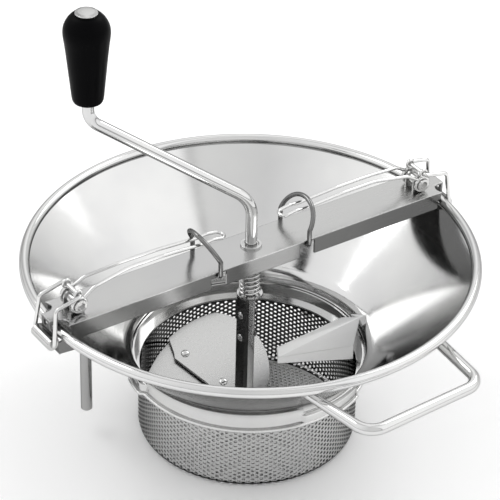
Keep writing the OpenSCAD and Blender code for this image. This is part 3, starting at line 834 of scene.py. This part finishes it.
def make_toggles():
    """Levers, links and bails on both sides."""
    for maker, kind, slot, material in (
        (make_lever, "lever", "wire_steel", WIRE),
        (make_link, "link", "wire_steel", WIRE),
        (make_bail, "bail", "bail_steel", DARK),
    ):
        right = maker()
        left = mirrored(right.name.replace("right", "left"), right)
        put(right, f"right_{kind}", slot, material, f"{kind}_right")
        put(left, f"left_{kind}", slot, material, f"{kind}_left")


# ---------------------------------------------------------------- CAD nodes that stay

def finish_cad():
    """Better materials on the CAD nodes that show."""
    wanted = {
        SPUN: ["sieve_collar"],
        FIN: ["deflector"],
        POST: ["blade_post"],
        PLATE: ["blade_main", "blade_presser"],
        BAR: ["crossbar"],
        LEG: ["leg_left", "leg_right"],
        DARK: ["catch_left", "catch_right"],
        FITTING: ["shaft_bush", "lever_pin_left", "lever_pin_right", "spring_seat",
                  "post_rivets", "blade_rivets", "grip_cap", "roller_left", "roller_right"],
    }
    for material, names in wanted.items():
        for name in names:
            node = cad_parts[name]
            if not node.material_slots:
                node.data.materials.append(material)
            for place in node.material_slots:
                place.material = material


# ---------------------------------------------------------------- studio

def make_floor():
    """A plain pale floor under the mill."""
    half = 6
    mesh = bpy.data.meshes.new("studio_floor")
    z = -0.0002
    corners = [(-half, -half, z), (half, -half, z), (half, half, z), (-half, half, z)]
    mesh.from_pydata(corners, [], [(0, 1, 2, 3)])
    floor = bpy.data.objects.new("studio_floor", mesh)
    bpy.context.scene.collection.objects.link(floor)
    mesh.materials.append(pale_floor("pale_floor"))


def direction(azimuth, elevation):
    """Unit vector from the mill towards a place round it; azimuth 0 is towards -Y."""
    a, e = math.radians(azimuth), math.radians(elevation)
    return Vector((math.sin(a) * math.cos(e), -math.cos(a) * math.cos(e), math.sin(e)))


def softbox(name, azimuth, elevation, distance, width, height, watts):
    """A large area light aimed at the bowl."""
    data = bpy.data.lights.new(name, "AREA")
    data.shape = "RECTANGLE"
    data.size, data.size_y = width, height
    data.energy = watts
    light = bpy.data.objects.new(name, data)
    bpy.context.scene.collection.objects.link(light)
    towards = direction(azimuth, elevation)
    light.location = towards * distance + Vector((0, 0, RIM_Z * MM))
    light.rotation_euler = (-towards).to_track_quat("-Z", "Y").to_euler()


# azimuth from +X in degrees, and the brightness of the studio's wall there
WALL_PANELS = [
    (-180, 1.05), (-150, 0.9), (-135, 0.82), (-84, 0.86), (-80, 0.5), (-74, 1.22), (-28, 1.2), (0, 1.02),
    (20, 0.85), (32, 0.72), (48, 1.15), (62, 1.15), (86, 0.55),
    (98, 0.85), (118, 0.98), (140, 1.12), (180, 1.05),
]
CEILING = 0.92


def ramp_of(nodes, stops):
    """A grey colour ramp from (position, value) stops."""
    ramp = nodes.new("ShaderNodeValToRGB")
    ramp.color_ramp.interpolation = "LINEAR"
    elements = ramp.color_ramp.elements
    while len(elements) < len(stops):
        elements.new(0.5)
    for element, (place, value) in zip(elements, stops):
        element.position = place
        element.color = (value, value, value, 1)
    return ramp


def make_world():
    """The studio's walls and ceiling: dark low down, with bright and dark panels round the sides."""
    world = bpy.data.worlds.new("studio")
    bpy.context.scene.world = world
    world.use_nodes = True
    nodes, links = world.node_tree.nodes, world.node_tree.links
    split = nodes.new("ShaderNodeSeparateXYZ")
    links.new(nodes.new("ShaderNodeTexCoord").outputs["Generated"], split.inputs[0])
    heights = ramp_of(nodes, [(0.0, 0.35), (0.05, 0.6), (0.14, 1.0), (0.88, 1.0), (0.95, CEILING)])
    links.new(split.outputs["Z"], heights.inputs["Fac"])
    turn = angle_of(nodes, links, split)
    panels = ramp_of(nodes, [((degrees + 180) / 360, value) for degrees, value in WALL_PANELS])
    links.new(ranged(nodes, links, turn, 0, 1, -math.pi, math.pi), panels.inputs["Fac"])
    both = nodes.new("ShaderNodeMath")
    both.operation = "MULTIPLY"
    links.new(heights.outputs["Color"], both.inputs[0])
    links.new(panels.outputs["Color"], both.inputs[1])
    background = nodes["Background"]
    background.inputs["Color"].default_value = (1, 1, 1, 1)
    links.new(both.outputs[0], background.inputs["Strength"])


def make_camera():
    """The camera at the photograph's angle."""
    azimuth, elevation, roll = -34.6, 33.94, 1.5
    focal, distance = 173.4, 1.616
    lift, slide = 0.0040, 0.0006
    towards = direction(azimuth, elevation)
    turn = (-towards).to_track_quat("-Z", "Y").to_matrix()
    up, right = turn.col[1], turn.col[0]
    aim = Vector((0, 0, RIM_Z * MM)) + up * lift - right * slide
    data = bpy.data.cameras.new("camera")
    data.lens = focal
    data.sensor_width = 36
    camera = bpy.data.objects.new("camera", data)
    bpy.context.scene.collection.objects.link(camera)
    camera.location = aim + towards * distance
    camera.rotation_euler = (turn @ Matrix.Rotation(math.radians(roll), 3, "Z")).to_euler()
    bpy.context.scene.camera = camera
    bpy.context.scene.view_settings.view_transform = "Standard"


make_camera()
make_world()
softbox("key_right", azimuth=100, elevation=45, distance=1.6, width=0.8, height=0.8, watts=6)
softbox("key_back", azimuth=-150, elevation=50, distance=1.6, width=0.8, height=0.8, watts=5)
make_floor()
make_bowl()
make_sieve_wall()
make_sieve_floor()
make_handle()
make_crank()
make_grip()
make_spring()
make_toggles()
finish_cad()
